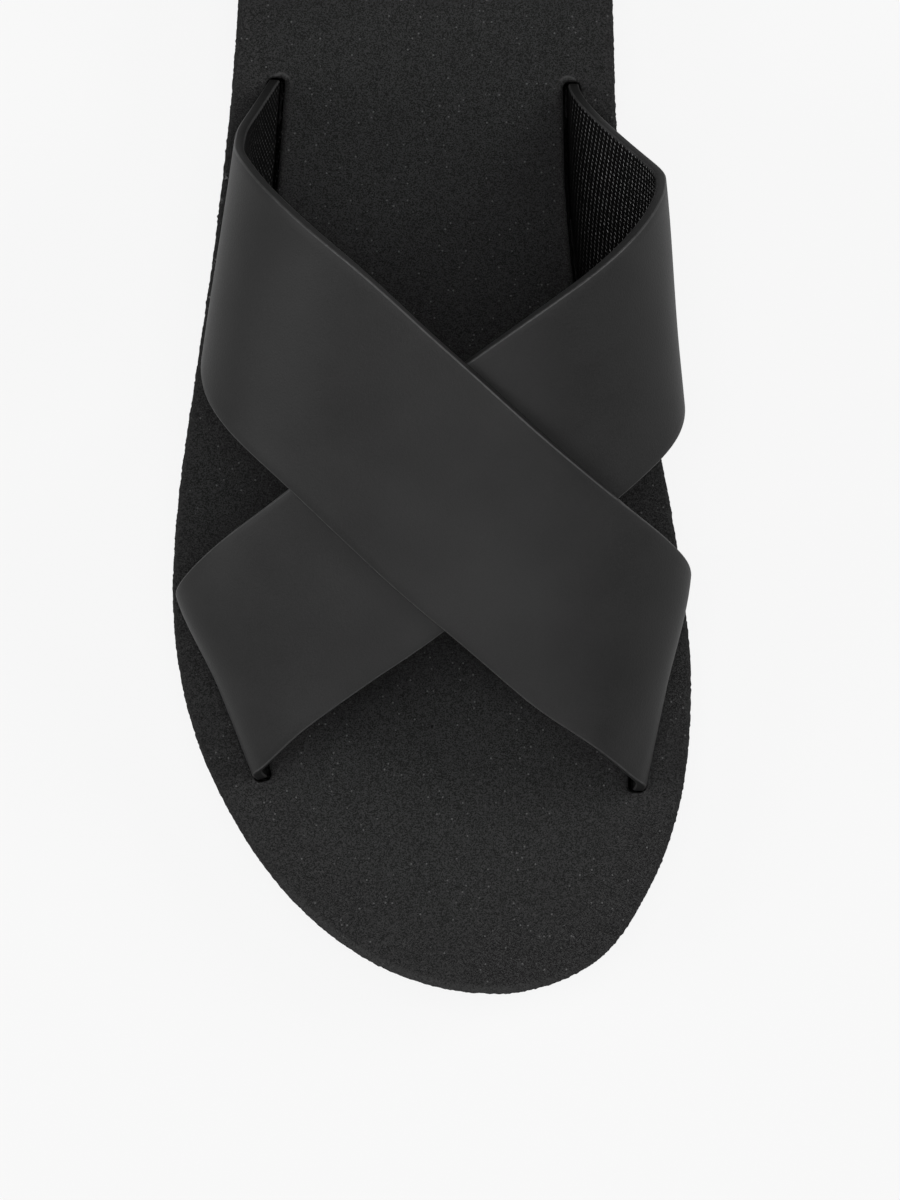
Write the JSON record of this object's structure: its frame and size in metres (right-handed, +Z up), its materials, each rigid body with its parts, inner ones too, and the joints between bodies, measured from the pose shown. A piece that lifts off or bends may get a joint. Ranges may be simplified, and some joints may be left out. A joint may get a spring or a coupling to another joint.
{
  "type": "cross strap sandal",
  "caption": "Open slide sandal for the right foot: a flat foam footbed on a rubber outsole, with two broad straps crossing over the instep and ending in slots in the footbed.",
  "frame": {"origin": "on the floor under the middle of the shoe's bounding box", "axes": "+Y towards the heel, so the toe points to -Y; +Z up; +X towards the big toe side of this right shoe"},
  "size_m": [0.098, 0.264, 0.0768],
  "materials": {
    "outsole_rubber": "matte black rubber sheet",
    "footbed_foam": "matte black closed-cell foam with a fine speckled grain",
    "strap_skin": "smooth satin dark grey coated strap"
  },
  "bodies": {
    "root": {"outsole": "outsole_rubber", "footbed": "footbed_foam", "upper": "strap_skin"}
  },
  "joints": []
}
